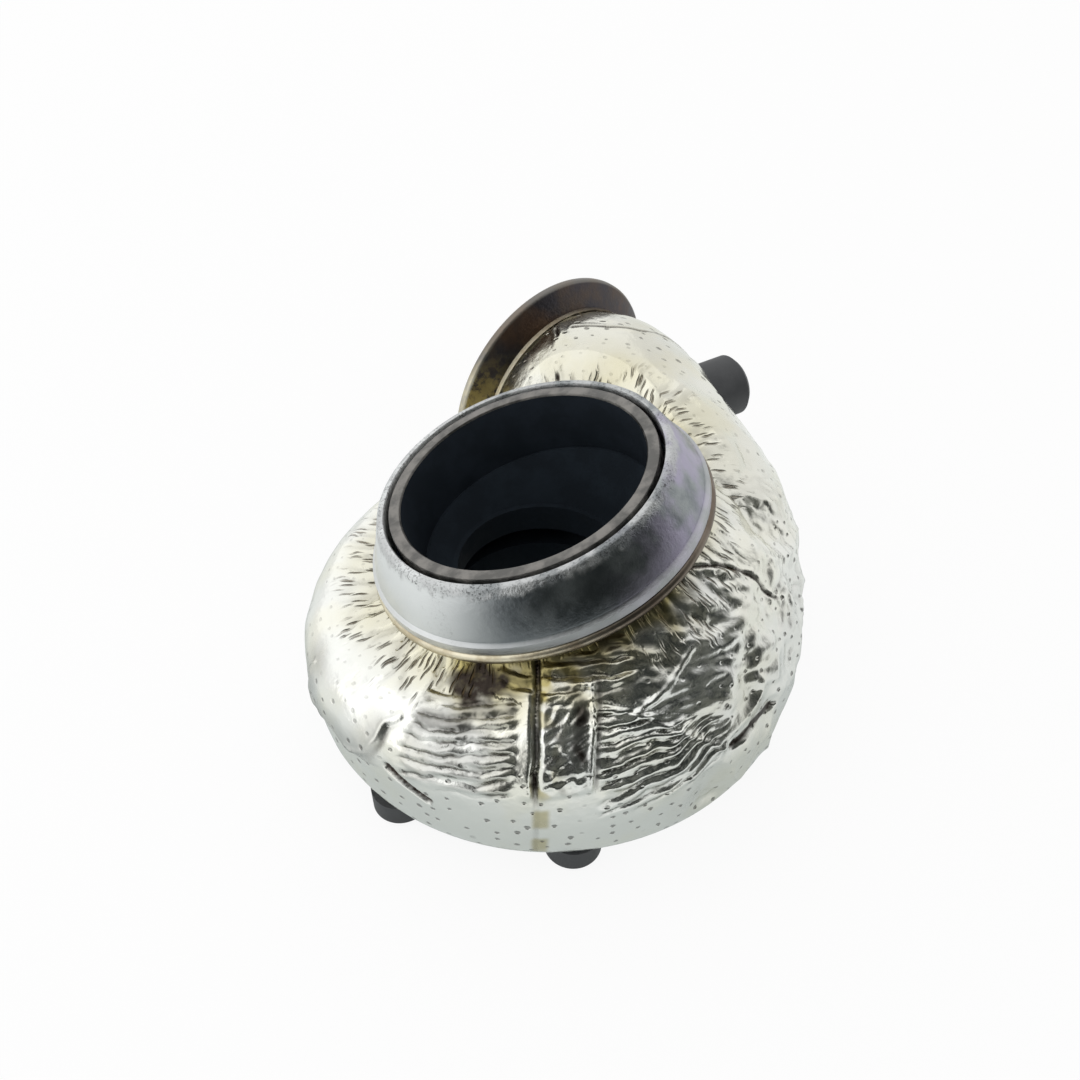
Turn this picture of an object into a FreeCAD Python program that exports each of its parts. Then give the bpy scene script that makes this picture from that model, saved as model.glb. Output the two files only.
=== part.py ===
import FreeCAD, Part
import math
import os

from FreeCAD import Vector

# Insulated turbine housing of a turbocharger with its sheet cover, millimetres.
# +Z runs along the wheel axis towards the outlet, z = 0 is the bearing side face.
# The inlet faces +Y and the gas turns clockwise round the wheel seen from above.

# Wheel space in the casting
WHEEL_BORE_R = 38.0
THROAT_R = 32.0
BEARING_BORE_R = 43.0
BACK_FACE_R = 73.0
HUB_R = 66.0
HUB_TOP = 42.0
LEDGE_Z = 50.0
LEDGE = 2.0
SLOT_LOW = 24.0
SLOT_HIGH = 38.0
SLOT_R = 56.0
BEARING_DEPTH = 12.0
CAST_WALL = 5.0
BACK_FLANGE = 8.0
CASTING_CLEAR = 2.2

# Outlet, measured along its own tilted axis from the outlet face
BEND_Z = 68.4
TILT = 17.0
TILT_AZ = 133.2
OUTLET_REACH = 26.8
OUTLET_BORE_R = 45.0
LINER_WALL = 5.0
LINER_LENGTH = 26.0
LINER_SEAT = 1.0
GAP = 2.0
COLLAR_TOP_R = 53.8
COLLAR_LIP_R = 63.0
COLLAR_HEIGHT = 22.0
COLLAR_STEP = 12.0
LIP_HEIGHT = 3.0
LIP_EDGE = 1.4
NECK_R = 56.0
NECK_DEEP = 68.0
HEM_HEIGHT = 2.5
HEM_INSET = 1.5

# Inlet, measured along -Y from its face
INLET_X = 80.7
INLET_Y = 88.2
INLET_Z = 42.5
INLET_BORE_R = 34.0
INLET_FLANGE_R = 54.2
INLET_RIM = 3.5
FLANGE_DEPTH = 9.0
RIM_BEVEL = 0.8
FLANGE_HUB_R = 44.0
SPIGOT_R = 39.0
INLET_STRAIGHT = 16.0
INLET_HEM = 2.0
INLET_BORE_DEPTH = 30.0
FOIL_NECK_R = 42.5

# Sheet cover, whose plan outline is an ellipse
FOIL = 0.8
RING_POINTS = 10
FOIL_LONG = 94.4
FOIL_SHORT = 90.2
FOIL_CX = 0.3
FOIL_CY = -6.8
FOIL_AZ = -22.7
FOIL_NECK_TOP_R = 58.0
FOIL_BOTTOM = 0.5
FOIL_OPENING_R = 76.0
PAN_TOP = 6.0
SEAM_AZ = -132.5
SEAM_ROUTE = ((250.0, -250.0), (250.0, -60.0), (118.0, 30.0), (71.0, 73.0))
STRIP_WIDTH = 19.0
STRIP_LOW = 36.0
STRIP_HIGH = 64.0

# Studs with their caps under the body, level with the rim of the inlet flange
STUD_R = 5.0
STUD_PCD_R = 82.5
STUD_AZ = (-170.5, -123.4, -29.0, 12.0)
STUD_LOW = -8.0
STUD_HIGH = 10.0
LUG_R = 7.5
LUG_TOP = 21.0
CAP_R = 10.5
CAP_LOW = INLET_Z - INLET_FLANGE_R
CAP_EDGE = 2.0

# Side port
PORT_X = 100.0
PORT_Y = 35.2
PORT_Z = 52.0
PORT_AZ = -11.0
PORT_SEAT = 17.5
PORT_TIP = 38.0
PORT_CAP_R = 13.5
PORT_NOSE_R = 9.0
PORT_NOSE = 32.0
PORT_HOLE_R = 5.0

# Casting scroll: azimuth, centre radius, section radius, centre height
SCROLL = (
    (10.0, 68.0, 36.0, 41.0),
    (-40.0, 61.0, 30.0, 37.0),
    (-90.0, 61.0, 26.0, 33.0),
    (-135.0, 60.0, 23.5, 30.0),
    (-180.0, 59.0, 20.5, 26.5),
    (-225.0, 57.0, 17.5, 24.0),
)

# Sheet round the gas pipe: x, y, heading, half width, half height, centre height
TUBE = (
    (INLET_X, INLET_Y - FLANGE_DEPTH, -90.0, FOIL_NECK_R, FOIL_NECK_R, INLET_Z),
    (INLET_X, INLET_Y - 14.0, -90.0, 45.0, 43.6, INLET_Z + 0.5),
    (INLET_X - 0.5, INLET_Y - 30.0, -92.0, 49.0, 44.5, INLET_Z + 2.5),
    (73.5, 34.2, -103.0, 48.2, 45.0, INLET_Z + 3.0),
    (61.5, 4.0, -117.0, 50.0, 43.0, 44.0),
    (45.4, -22.6, -131.0, 51.5, 39.0, 41.0),
    (26.0, -42.8, -145.0, 41.0, 31.0, 37.0),
    (2.1, -57.4, -165.0, 32.0, 22.0, 32.0),
)

# Sheet round the wheel: tilt, centre height, inset from the plan outline, and the share
# of the sheet's thickness that its inner side lies lower
DOME = (
    (11.0, 60.0, 21.0, 1.0),
    (6.0, 53.0, 10.5, 0.9),
    (2.5, 41.5, 2.6, 0.4),
    (0.0, 29.0, 0.0, 0.0),
    (0.0, 15.0, 0.0, 0.0),
    (0.0, 5.5, 1.4, 0.0),
)

# Dip of the sheet round the collar: radius, rise
BOWL = ((64.0, 0.0), (70.0, 2.5), (78.0, 8.0), (90.0, 18.0))


def polar(radius, azimuth, z=0.0):
    a = math.radians(azimuth)
    return Vector(radius * math.cos(a), radius * math.sin(a), z)


UP = Vector(0, 0, 1)
BACK = Vector(0, 1, 0)
OUT = polar(math.sin(math.radians(TILT)), TILT_AZ, math.cos(math.radians(TILT)))
BEND = Vector(0, 0, BEND_Z)


def outletPoint(u):
    return BEND + OUT * (OUTLET_REACH + u)


def tube(point, axis, r, length):
    return Part.makeCylinder(r, length, point, axis)


def ring(point, axis, rIn, rOut, length):
    return tube(point, axis, rOut, length).cut(tube(point, axis, rIn, length))


def revolve(profile, point, axis):
    # profile points are (radius, height along the axis)
    pts = [Vector(r, 0, h) for r, h in profile]
    wire = Part.makePolygon(pts + [pts[0]])
    solid = Part.Face(wire).revolve(Vector(0, 0, 0), UP, 360)
    solid.Placement = FreeCAD.Placement(point, FreeCAD.Rotation(UP, axis))
    return solid


def ellipseWire(centre, normal, major, rLong, rShort):
    # an even periodic curve through a few points of the ellipse, the same way round in each section
    first = (major - normal * major.dot(normal)).normalize()
    second = normal.cross(first)
    points = []
    for k in range(RING_POINTS):
        t = 2 * math.pi * k / RING_POINTS
        points.append(centre + first * (rLong * math.cos(t)) + second * (rShort * math.sin(t)))
    even = [k / RING_POINTS for k in range(RING_POINTS + 1)]
    curve = Part.BSplineCurve()
    curve.interpolate(points, PeriodicFlag=True, Parameters=even)
    return Part.Wire(curve.toShape())


def circleWire(centre, normal, r):
    return Part.Wire(Part.Circle(centre, normal, r).toShape())


def loft(wires):
    return Part.makeLoft(wires, True, False)


def scroll(shrink):
    # the gas passage and its wall, from the inlet clockwise to the tongue
    inletEnd = Vector(INLET_X, INLET_Y - FLANGE_DEPTH, INLET_Z)
    wires = []
    wires.append(circleWire(inletEnd, Vector(0, 1, 0), SPIGOT_R - shrink))
    wires.append(circleWire(inletEnd - Vector(0, INLET_STRAIGHT, 0), Vector(0, 1, 0), SPIGOT_R - shrink))
    wires.append(circleWire(Vector(75.5, 38.0, INLET_Z), polar(1.0, 78.0), 38.0 - shrink))
    for az, centreR, r, z in SCROLL:
        wires.append(circleWire(polar(centreR, az, z), polar(1.0, az + 90.0), r - shrink))
    return loft(wires)


def domeSolid(o):
    # o is how far the surface lies inside the outer skin
    major = polar(1.0, FOIL_AZ)
    wires = []
    top = FOIL_NECK_TOP_R - o
    wires.append(ellipseWire(outletPoint(-COLLAR_HEIGHT - HEM_HEIGHT), OUT, major, top, top))
    wires.append(ellipseWire(outletPoint(-28.0 - o * 0.8), OUT, major, top + 2.5, top + 2.5))
    for tilt, z, inset, down in DOME:
        normal = polar(math.sin(math.radians(tilt)), TILT_AZ, math.cos(math.radians(tilt)))
        share = 1.0 - inset / 34.0
        centre = Vector(FOIL_CX * share, FOIL_CY * share, z - o * down)
        rShort = FOIL_SHORT - inset * 0.82 - o
        wires.append(ellipseWire(centre, normal, major, FOIL_LONG - inset - o, rShort))
    base = Vector(FOIL_CX, FOIL_CY, FOIL_BOTTOM + o)
    wires.append(ellipseWire(base, UP, major, FOIL_LONG - 4.8 - o, FOIL_SHORT - 4.8 - o))
    return loft(wires)


def tubeSolid(o):
    wires = []
    for x, y, heading, wide, tall, z in TUBE:
        normal = polar(1.0, heading)
        wires.append(ellipseWire(Vector(x, y, z), normal, normal.cross(UP), wide - o, tall - o))
    return loft(wires)


def bowl(o):
    # the sheet dips round the collar, so that the collar stands clear of the inlet pipe
    low = -COLLAR_HEIGHT - HEM_HEIGHT - o
    profile = [(0.0, 60.0), (0.0, low)]
    for r, rise in BOWL:
        profile.append((r, low + rise))
    profile.append((BOWL[-1][0], 60.0))
    return revolve(profile, outletPoint(0), OUT)


def cover(o):
    return domeSolid(o).fuse(tubeSolid(o)).cut(bowl(o))


def prism(points, low, high):
    pts = [Vector(x, y, low) for x, y in points]
    face = Part.Face(Part.makePolygon(pts + [pts[0]]))
    return face.extrude(Vector(0, 0, high - low))


def biggest(shape):
    return max(shape.Solids, key=lambda s: s.Volume)


def save(name, shape):
    shape.exportStep("parts/" + name + ".step")


os.makedirs("parts", exist_ok=True)

# outlet
linerOuter = OUTLET_BORE_R + LINER_WALL
liner = ring(outletPoint(-LINER_LENGTH), OUT, OUTLET_BORE_R, linerOuter, LINER_LENGTH)
collar = revolve((
    (linerOuter + GAP, 0),
    (COLLAR_TOP_R, 0),
    (COLLAR_LIP_R - LIP_EDGE, -COLLAR_HEIGHT + LIP_HEIGHT + LIP_EDGE),
    (COLLAR_LIP_R, -COLLAR_HEIGHT + LIP_HEIGHT),
    (COLLAR_LIP_R, -COLLAR_HEIGHT),
    (NECK_R, -COLLAR_HEIGHT),
    (NECK_R, -COLLAR_STEP),
    (linerOuter + GAP, -COLLAR_STEP)), outletPoint(0), OUT)
hemPoint = outletPoint(-COLLAR_HEIGHT - HEM_HEIGHT)
hem = ring(hemPoint, OUT, NECK_R, COLLAR_LIP_R - HEM_INSET, HEM_HEIGHT)

# inlet
inletFace = Vector(INLET_X, INLET_Y, INLET_Z)
hemEnd = inletFace - BACK * (FLANGE_DEPTH + INLET_HEM)
flange = revolve((
    (INLET_BORE_R, 0),
    (INLET_FLANGE_R - RIM_BEVEL, 0),
    (INLET_FLANGE_R, -RIM_BEVEL),
    (INLET_FLANGE_R, -INLET_RIM),
    (FLANGE_HUB_R, -FLANGE_DEPTH),
    (INLET_BORE_R, -FLANGE_DEPTH)), inletFace, BACK)
neckHem = ring(hemEnd, BACK, SPIGOT_R + HEM_INSET, FLANGE_HUB_R, INLET_HEM)

# solid form of the casting
body = scroll(0.0).cut(bowl(CASTING_CLEAR))
body = body.fuse(tube(Vector(0, 0, 0), UP, BACK_FACE_R, BACK_FLANGE))
body = body.fuse(tube(Vector(0, 0, 0), UP, HUB_R, HUB_TOP))
body = body.fuse(tube(outletPoint(-NECK_DEEP), OUT, NECK_R, NECK_DEEP - COLLAR_STEP))
portAxis = polar(1.0, PORT_AZ)
portRoot = Vector(PORT_X, PORT_Y, PORT_Z)
body = body.fuse(tube(portRoot - portAxis * 8.0, portAxis, PORT_CAP_R - 0.5, 8.0 + PORT_SEAT))
body = body.fuse(tube(portRoot, portAxis, PORT_NOSE_R, PORT_NOSE))
for az in STUD_AZ:
    body = body.fuse(tube(polar(STUD_PCD_R, az), UP, LUG_R, LUG_TOP))

# gas passage, wheel space and bores
hollow = scroll(CAST_WALL)
hollow = hollow.fuse(tube(inletFace - BACK * INLET_BORE_DEPTH, BACK, INLET_BORE_R, INLET_BORE_DEPTH))
hollow = hollow.fuse(tube(Vector(0, 0, 0), UP, BEARING_BORE_R, BEARING_DEPTH))
hollow = hollow.fuse(tube(Vector(0, 0, 0), UP, WHEEL_BORE_R, SLOT_HIGH))
hollow = hollow.fuse(tube(Vector(0, 0, 0), UP, THROAT_R, LEDGE_Z))
slot = ring(Vector(0, 0, SLOT_LOW), UP, WHEEL_BORE_R - 1.0, SLOT_R, SLOT_HIGH - SLOT_LOW)
hollow = hollow.fuse(slot)
# the gas widens from the throat to the liner, round the bend between their axes
throatRing = circleWire(Vector(0, 0, LEDGE_Z), UP, THROAT_R + LEDGE)
linerRing = circleWire(outletPoint(-LINER_LENGTH), OUT, OUTLET_BORE_R - LINER_SEAT)
hollow = hollow.fuse(Part.makeLoft([throatRing, linerRing], True, True))
hollow = hollow.fuse(tube(outletPoint(-LINER_LENGTH), OUT, linerOuter, LINER_LENGTH))
hollow = hollow.fuse(tube(portRoot - portAxis * 20.0, portAxis, PORT_HOLE_R, 20.0 + PORT_NOSE))
for az in STUD_AZ:
    hollow = hollow.fuse(tube(polar(STUD_PCD_R, az), UP, STUD_R, STUD_HIGH))
casting = body.cut(hollow)

# openings of the sheet, with the room round the studs and the port
outletOpen = tube(hemPoint - OUT * 2.5, OUT, FOIL_NECK_TOP_R - FOIL, 60.0)
inletOpen = tube(inletFace - BACK * 14.0, BACK, FOIL_NECK_R - FOIL, 30.0)
beyondInlet = tube(hemEnd, BACK, FLANGE_HUB_R + 2.0, 40.0)
pits = tube(Vector(0, 0, -20), UP, FOIL_OPENING_R, 20.0 + FOIL_BOTTOM + 2.0)
for az in STUD_AZ:
    pits = pits.fuse(tube(polar(STUD_PCD_R, az, -20), UP, LUG_R, 20.0 + LUG_TOP))
pits = pits.fuse(tube(portRoot, portAxis, PORT_CAP_R + 0.1, 60.0))

# sheet, parted into two shells and the pan below
outer = cover(0.0)
inner = cover(FOIL)
sheet = outer.cut(inner).cut(outletOpen.fuse(inletOpen)).cut(beyondInlet).cut(pits)
front = polar(250.0, SEAM_AZ)
rightZone = prism(((0, 0), (front.x, front.y)) + SEAM_ROUTE, -60, 200)
lowZone = Part.makeBox(600, 600, 60, Vector(-300, -300, PAN_TOP - 60))
foilPan = sheet.common(lowZone)
upper = sheet.cut(lowZone)
foilRight = upper.common(rightZone)
foilLeft = upper.cut(rightZone)

# insulation between the casting and the sheet
mat = inner.cut(body).cut(beyondInlet).cut(pits).cut(tube(hemPoint, OUT, COLLAR_LIP_R + 1.0, 60.0))

# lap strip beside the front seam
skin = domeSolid(-FOIL).cut(outer)
side = polar(STRIP_WIDTH, SEAM_AZ + 90.0)
near = polar(60.0, SEAM_AZ)
far = polar(120.0, SEAM_AZ)
strip = skin.common(prism((
    (near.x, near.y),
    (far.x, far.y),
    (far.x + side.x, far.y + side.y),
    (near.x + side.x, near.y + side.y)), STRIP_LOW, STRIP_HIGH))

save("turbine_housing", casting)
save("outlet_liner", liner)
save("outlet_collar", collar)
save("collar_hem", hem)
save("inlet_flange", flange)
save("inlet_hem", neckHem)
save("insulation_mat", biggest(mat))
save("foil_right", biggest(foilRight))
save("foil_left", biggest(foilLeft))
save("foil_pan", biggest(foilPan))
save("seam_strip", biggest(strip))
for k, az in enumerate(STUD_AZ):
    stud = tube(polar(STUD_PCD_R, az, STUD_LOW), UP, STUD_R, STUD_HIGH - STUD_LOW)
    save("stud_" + str(k + 1), stud)
    cap = revolve((
        (0, CAP_LOW),
        (CAP_R - CAP_EDGE, CAP_LOW),
        (CAP_R, CAP_LOW + CAP_EDGE),
        (CAP_R, 0),
        (STUD_R, 0),
        (STUD_R, STUD_LOW),
        (0, STUD_LOW)), polar(STUD_PCD_R, az), UP)
    save("stud_cap_" + str(k + 1), cap)
portCap = revolve((
    (0, PORT_TIP),
    (PORT_CAP_R - CAP_EDGE, PORT_TIP),
    (PORT_CAP_R, PORT_TIP - CAP_EDGE),
    (PORT_CAP_R, PORT_SEAT),
    (PORT_NOSE_R, PORT_SEAT),
    (PORT_NOSE_R, PORT_NOSE),
    (0, PORT_NOSE)), portRoot, portAxis)
save("port_cap", portCap)
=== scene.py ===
import bpy
import bmesh
import math
from mathutils import Matrix, Vector
from mathutils.bvhtree import BVHTree
from mathutils.noise import noise


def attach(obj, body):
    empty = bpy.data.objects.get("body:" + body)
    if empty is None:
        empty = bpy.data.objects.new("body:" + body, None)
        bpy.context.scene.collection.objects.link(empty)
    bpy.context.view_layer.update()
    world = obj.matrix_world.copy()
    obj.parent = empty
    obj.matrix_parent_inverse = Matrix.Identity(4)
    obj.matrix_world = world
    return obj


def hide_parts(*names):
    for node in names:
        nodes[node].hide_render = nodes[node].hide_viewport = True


# Looks of an insulated turbine housing: crimped bright sheet over a cast snail.
# Metres, +Z is the wheel axis towards the outlet, the inlet faces +Y.

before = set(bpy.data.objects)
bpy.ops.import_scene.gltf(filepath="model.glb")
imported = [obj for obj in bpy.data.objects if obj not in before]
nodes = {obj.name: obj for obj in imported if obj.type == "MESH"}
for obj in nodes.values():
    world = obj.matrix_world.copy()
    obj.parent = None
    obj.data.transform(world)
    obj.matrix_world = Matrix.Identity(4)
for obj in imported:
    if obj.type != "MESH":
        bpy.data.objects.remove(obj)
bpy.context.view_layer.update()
mm = 0.001
print("frame loaded:", len(nodes), "nodes")

# outlet and inlet axes as in the solids, mm and degrees
axes = {
    "tilt": 17.0,                     # outlet axis from the wheel axis
    "azimuth": 133.2,
    "bend": 68.4,                     # height where the outlet axis leaves the wheel axis
    "reach": 26.8,
    "inlet": (80.7, 88.2, 42.5),
    "seam": -132.5,                   # azimuth of the front seam
    "screenRight": (0.756, -0.655, 0.0),
}


def polar(radius, azimuth, z=0.0):
    a = math.radians(azimuth)
    return Vector((radius * math.cos(a), radius * math.sin(a), z))


def smooth(low, high, x):
    # 0 below low, 1 above high, soft between; low may be above high
    t = min(max((x - low) / (high - low), 0.0), 1.0)
    return t * t * (3 - 2 * t)


def window(x, low, high, soft):
    return smooth(low - soft, low + soft, x) * smooth(high + soft, high - soft, x)


outTilt = math.radians(axes["tilt"])
outDir = polar(math.sin(outTilt), axes["azimuth"], math.cos(outTilt))
outletFace = Vector((0, 0, axes["bend"])) + outDir * axes["reach"]
inletAt = Vector(axes["inlet"])
seamDir = polar(1.0, axes["seam"])
seamSide = polar(1.0, axes["seam"] + 90)
frontDir = (seamDir - outDir * seamDir.dot(outDir)).normalized()
crossDir = outDir.cross(frontDir)


def roundOutlet(p):
    # angle round the outlet from the front seam, distance from its axis, height over its face
    q = p - outletFace
    u = q.dot(outDir)
    flat = q - outDir * u
    return math.degrees(math.atan2(flat.dot(crossDir), flat.dot(frontDir))), flat.length, u


class Socket:
    # a node output that can be used in plain arithmetic
    def __init__(self, shader, out):
        self.shader = shader
        self.out = out

    def join(self, operation, a, b=None):
        return self.shader.make("ShaderNodeMath", {"operation": operation}, {0: a, 1: b})

    def __add__(self, other):
        return self.join("ADD", self, other)

    def __radd__(self, other):
        return self.join("ADD", other, self)

    def __sub__(self, other):
        return self.join("SUBTRACT", self, other)

    def __rsub__(self, other):
        return self.join("SUBTRACT", other, self)

    def __mul__(self, other):
        return self.join("MULTIPLY", self, other)

    def __rmul__(self, other):
        return self.join("MULTIPLY", other, self)

    def ripple(self):
        # 0 at whole numbers, 1 half way between them
        return self.join("ABSOLUTE", self.join("SINE", self * math.pi))

    def clamped(self):
        return self.shader.make("ShaderNodeClamp", {}, {0: self})


class Shader:
    # the nodes of one material, or of the world
    def __init__(self, owner):
        owner.use_nodes = True
        self.owner = owner
        self.nodes = owner.node_tree.nodes
        self.links = owner.node_tree.links

    def put(self, socket, value):
        if value is None:
            return
        if isinstance(value, Socket):
            self.links.new(value.out, socket)
        elif socket.type == "RGBA":
            socket.default_value = (*value, 1)
        else:
            socket.default_value = value

    def make(self, kind, settings, values, output=0):
        # settings first, then what goes into the sockets, by name or number
        node = self.nodes.new(kind)
        for key, value in settings.items():
            setattr(node, key, value)
        for key, value in values.items():
            self.put(node.inputs[key], value)
        return Socket(self, node.outputs[output])

    def place(self):
        return self.make("ShaderNodeTexCoord", {}, {}, output="Object")

    def along(self, direction):
        # how far along a direction, from the origin
        values = {0: self.place(), 1: tuple(direction)}
        return self.make("ShaderNodeVectorMath", {"operation": "DOT_PRODUCT"}, values, output="Value")

    def noise(self, size, detail=3.0, rough=0.5, output=0):
        # size is the width of one bump in metres
        values = {"Vector": self.place(), "Scale": 1.0 / size, "Detail": detail, "Roughness": rough}
        return self.make("ShaderNodeTexNoise", {}, values, output)

    def cells(self, where, wide, tall, random):
        # distance to the middles of flat cells
        flat = self.make("ShaderNodeMapping", {}, {"Vector": where, "Scale": (1.0 / wide, 1.0 / tall, 1.0)})
        values = {"Vector": flat, "Scale": 1.0, "Randomness": random}
        return self.make("ShaderNodeTexVoronoi", {"voronoi_dimensions": "2D"}, values)

    def step(self, value, low, high):
        return self.make("ShaderNodeMapRange", {"interpolation_type": "SMOOTHSTEP"}, {0: value, 1: low, 2: high})

    def mix(self, factor, a, b):
        return self.make("ShaderNodeMix", {"data_type": "RGBA"}, {0: factor, 6: a, 7: b}, output=2)

    def attribute(self, word):
        return self.make("ShaderNodeAttribute", {"attribute_name": word}, {}, output="Fac")

    def bump(self, height, distance, normal=None):
        values = {"Strength": 1.0, "Distance": distance, "Height": height, "Normal": normal}
        return self.make("ShaderNodeBump", {}, values)

    def coat(self, colour, rough, normal=None, metallic=1.0, shine=0.5):
        values = {
            "Base Color": colour,
            "Roughness": rough,
            "Normal": normal,
            "Metallic": metallic,
            "Specular IOR Level": shine,
        }
        for key, value in values.items():
            self.put(self.nodes["Principled BSDF"].inputs[key], value)
        return self.owner

    def ray(self, word):
        return self.make("ShaderNodeLightPath", {}, {}, output="Is " + word + " Ray")

    def blend(self, factor, first, second):
        # blends two shaders into the output
        both = self.make("ShaderNodeMixShader", {}, {0: factor, 1: first, 2: second})
        end = [node for node in self.nodes if node.type.startswith("OUTPUT")][0]
        self.links.new(both.out, end.inputs["Surface"])


# the first mark is painted shade in creases, grooves and folds, painted dark reflections, and some soot
marks = ("shadeAndSoot", "tint", "dimple", "pleat", "fold", "across")   # what the skins carry at each vertex
foilFinish = {
    "silver": (0.80, 0.81, 0.775),
    "cream": (0.80, 0.79, 0.68),
    "gold": (0.45, 0.39, 0.17),
    "sootAndShade": (0.045, 0.036, 0.030),
    "crimpShade": (0.10, 0.070, 0.035),
    "roughness": 0.17,
    "patches": 0.03,
    "crinkle": 0.0032,
    "crinkleDepth": 0.00022,
    # painted shade in the crimp hollows
    "crimpWide": 0.0024,
    "crimpLong": 0.013,
    "crimpDepth": 0.0006,
    "bend": (0.005, 0.003, 0.0),      # how far the crimps wander
    "bendSize": 1 / 90,
    "foldDepth": 0.0007,
    "dimpleWide": 0.0072,             # spacing of the dimples
    "dimpleTall": 0.0054,
    "dimpleDepth": 0.00035,
}


def foilMaterial(name, onPiece):
    s = Shader(bpy.data.materials.new(name))
    f = foilFinish
    cloud = s.noise(f["patches"], 4.0)
    fine = s.noise(f["crinkle"])
    colour = s.mix(s.step(cloud, 0.42, 0.62) * 0.6, f["silver"], f["cream"])
    rough = s.step(s.noise(0.012), 0.35, 0.7) * 0.10 + f["roughness"]
    normal = s.bump(fine, f["crinkleDepth"])
    if onPiece:
        shadeAndSoot, tint, dimple, pleat, fold, across = [s.attribute(word) for word in marks]
        sheetUv = s.make("ShaderNodeUVMap", {"uv_map": "sheet"}, {})

        # short crimps that point at the collar, their hollows darkened as painted shade
        bend = s.noise(f["bendSize"], 2.0, output="Color")
        bent = s.make("ShaderNodeVectorMath", {"operation": "MULTIPLY_ADD"}, {0: bend, 1: f["bend"], 2: sheetUv})
        crimp = (1.0 - s.step(s.cells(bent, f["crimpWide"], f["crimpLong"], 0.95), 0.07, 0.30)) * pleat

        # fold lines, counted across by their own attribute, darkened along the fold valleys as painted shade
        broken = s.step(s.noise(0.007, 2.0), 0.38, 0.56)
        wave = (across + (s.noise(0.008, 2.0) - 0.5) * 1.1).ripple()
        line = (1.0 - s.step(wave, 0.02, 0.46)) * fold * (broken * 0.7 + 0.3)

        # pressed dimples of uneven size, missing here and there, with dark centres painted as shade
        cells = s.cells(sheetUv, f["dimpleWide"], f["dimpleTall"], 0.7)
        dot = 1.0 - s.step(cells + (s.noise(0.005) - 0.5) * 0.22, 0.04, 0.15)
        dot = dot * dimple * s.step(s.noise(0.018), 0.32, 0.46)

        colour = s.mix((tint * (cloud * 0.8 + 0.6)).clamped(), colour, f["gold"])
        # painted shade and painted dark reflections from the relief, with some soot, darken the sheet here
        colour = s.mix((shadeAndSoot * (fine * 0.6 + 0.7)).clamped(), colour, f["sootAndShade"])
        # painted shade in the crimp hollows
        colour = s.mix((crimp * 0.8).clamped(), colour, f["crimpShade"])
        # painted shade along the fold valleys and in the dimples
        colour = s.mix((line * 0.72 + dot * 0.6).clamped(), colour, f["sootAndShade"])
        rough = rough + shadeAndSoot * 0.2 + tint * 0.06
        normal = s.bump(wave * fold, f["foldDepth"], normal)
        normal = s.bump(1.0 - crimp, f["crimpDepth"], normal)
        normal = s.bump(1.0 - dot, f["dimpleDepth"], normal)
    return s.coat(colour, rough, normal)


collarFinish = {
    "grey": (0.20, 0.22, 0.23),
    "pale": (0.34, 0.365, 0.37),
    # front is painted shade, left a painted highlight on the lit side, violet a heat tint lightened as a painted
    # highlight
    "front": (0.085, 0.10, 0.11),
    "left": (0.78, 0.80, 0.795),
    "violet": (0.43, 0.39, 0.52),
    "rubbedAndHighlit": (0.56, 0.57, 0.57),
    "pit": (0.05, 0.05, 0.052),
    "rimFrom": (-0.0042, -0.0015),    # heights under the outlet face
    "lipFrom": (-0.0172, -0.0180),
}


def collarLook(name):
    # worn cone: pitted rim that is rubbed bare and lightened by painted highlights, grey front darkened as painted
    # shade, left side lightened as a painted highlight, violet heat tint on its right side lightened as a painted
    # highlight, rubbed lip
    s = Shader(bpy.data.materials.new(name))
    f = collarFinish
    up = s.along(outDir) - outletFace.dot(outDir) * mm
    side = s.along(axes["screenRight"])
    front = s.along(frontDir)
    cloud = s.noise(0.011, 5.0, 0.6)
    speck = s.noise(0.0009, 3.0, 0.7)
    rim = s.step(up + (s.noise(0.004) - 0.5) * 0.006, *f["rimFrom"])
    lip = s.step(up, *f["lipFrom"])
    patchy = s.step(s.noise(0.010), 0.40, 0.58)
    violet = s.step(side, 0.015, 0.045) * s.step(s.noise(0.014), 0.40, 0.62)
    pits = s.step(speck, 0.50, 0.66) * (rim * (0.75 - patchy * 0.45) + s.step(cloud, 0.55, 0.7) * 0.2)
    colour = s.mix(s.step(cloud, 0.38, 0.66), f["grey"], f["pale"])
    # painted shade on the front and a painted highlight on the left side
    colour = s.mix(s.step(front, 0.020, 0.055) * 0.55, colour, f["front"])
    colour = s.mix(s.step(side, -0.008, -0.044) * 0.9, colour, f["left"])
    # violet heat tint, lightened as a painted highlight
    colour = s.mix(violet * 0.75, colour, f["violet"])
    # rubbed bare metal and painted highlights on the rim, rubbed lip
    colour = s.mix((rim * (patchy * 0.7 + 0.2) + lip * 0.45).clamped(), colour, f["rubbedAndHighlit"])
    colour = s.mix(pits.clamped(), colour, f["pit"])
    rough = s.step(cloud, 0.3, 0.7) * 0.15 + rim * 0.10 + 0.30
    return s.coat(colour, rough, s.bump(speck * (rim * 0.8 + 0.2), 0.0003, s.bump(cloud, 0.0004)))


flangeFinish = {
    "violet": (0.060, 0.056, 0.062),
    "brown": (0.10, 0.078, 0.066),
    "rust": (0.17, 0.095, 0.055),
    "straw": (0.50, 0.40, 0.16),
    # edge is a painted highlight along the rim
    "edge": (0.60, 0.58, 0.50),
    "rimHighlightFrom": (0.0530, 0.0538),     # radius where the painted highlight on the rim starts
}


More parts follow.
